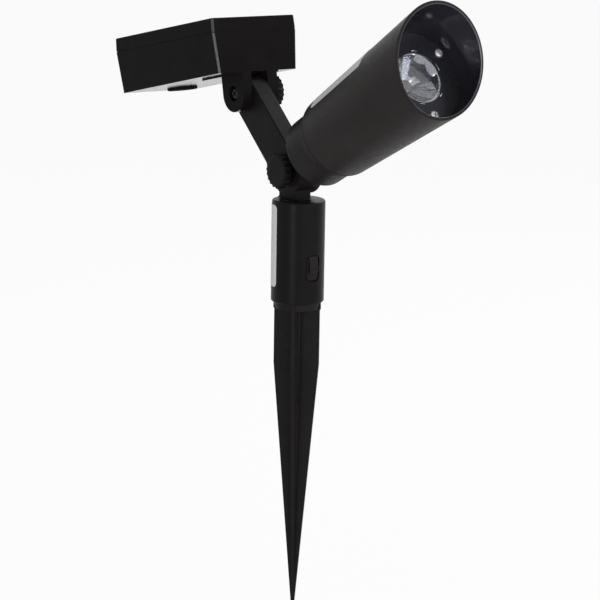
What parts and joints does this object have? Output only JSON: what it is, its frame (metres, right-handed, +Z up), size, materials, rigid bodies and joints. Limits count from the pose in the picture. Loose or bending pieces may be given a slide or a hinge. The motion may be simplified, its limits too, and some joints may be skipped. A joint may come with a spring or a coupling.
{
  "type": "garden spike spotlight",
  "caption": "Solar garden spotlight: tilting lamp and tilting solar panel on a forked bracket that swivels on a short stem with a ground spike.",
  "frame": {"origin": "on the stem's axis at the soil line, the underside of the spike's collar", "axes": "+X the way the lamp points, +Y along both hinge screws, +Z up along the stem"},
  "size_m": [0.2759, 0.0568, 0.3518],
  "materials": {
    "black_plastic": "satin black moulded plastic",
    "gloss_black_plastic": "glossy black moulded plastic",
    "button_plastic": "soft black plastic",
    "screw_steel": "bright zinc-plated steel",
    "nut_brass": "plain brass",
    "reflector_chrome": "vacuum-metallised plastic",
    "clear_lens": "clear moulded lens",
    "solar_glass": "dark solar cell under clear resin",
    "gasket_rubber": "black rubber",
    "battery_cell": "shrink-sleeved cell",
    "circuit_board": "green solder mask",
    "switch_plastic": "black plastic",
    "sink_aluminium": "plain extruded",
    "led_package": "white package with phosphor dome",
    "label_paper": "bare white sticker"
  },
  "bodies": {
    "base": {"spike": "black_plastic", "stem": "black_plastic", "stem_label": "label_paper"},
    "bracket": {"bracket": "black_plastic", "swivel_washer": "screw_steel", "swivel_screw": "screw_steel"},
    "lamp": {"lamp_back": "black_plastic", "lamp_tube": "black_plastic", "lamp_label": "label_paper", "back_screws": "screw_steel", "face_plate": "gloss_black_plastic", "face_screws": "screw_steel", "reflector": "reflector_chrome", "lens": "clear_lens", "led_board": "circuit_board", "led": "led_package", "heatsink": "sink_aluminium", "heatsink_screws": "screw_steel", "lamp_screw": "screw_steel"},
    "lamp_knob": {"lamp_knob": "black_plastic", "lamp_knob_nut": "nut_brass"},
    "panel": {"panel_housing": "black_plastic", "panel_lid": "black_plastic", "panel_gasket": "gasket_rubber", "solar_cell": "solar_glass", "battery": "battery_cell", "panel_board": "circuit_board", "panel_board_screws": "screw_steel", "button_switch": "switch_plastic", "panel_screw": "screw_steel"},
    "panel_knob": {"panel_knob": "black_plastic", "panel_knob_nut": "nut_brass"},
    "mode_button": {"mode_button": "button_plastic"}
  },
  "joints": [
    {"name": "bracket_swivel", "type": "hinge", "parent": "base", "child": "bracket", "pos_m": [0, 0, 0.0613], "axis": [0, 0, 1], "range_deg": [-170, 170]},
    {"name": "lamp_tilt", "type": "hinge", "parent": "bracket", "child": "lamp", "pos_m": [-0.0055, 0, 0.077], "axis": [0, -1, 0], "range_deg": [-38, 44]},
    {"name": "panel_tilt", "type": "hinge", "parent": "bracket", "child": "panel", "pos_m": [-0.04835, 0, 0.11504], "axis": [0, 1, 0], "range_deg": [-40, 28]},
    {"name": "lamp_knob_turn", "type": "hinge", "parent": "lamp", "child": "lamp_knob", "pos_m": [-0.0055, -0.00925, 0.077], "axis": [0, -1, 0], "range_deg": [0, 360]},
    {"name": "panel_knob_turn", "type": "hinge", "parent": "panel", "child": "panel_knob", "pos_m": [-0.04835, 0.0139, 0.11504], "axis": [0, 1, 0], "range_deg": [0, 360]},
    {"name": "mode_button_press", "type": "slide", "parent": "panel", "child": "mode_button", "axis": [-0.1908, 0, 0.9816], "range_m": [0, 0.001], "stiffness_N_per_m": 400, "springref_m": -0.0005}
  ]
}
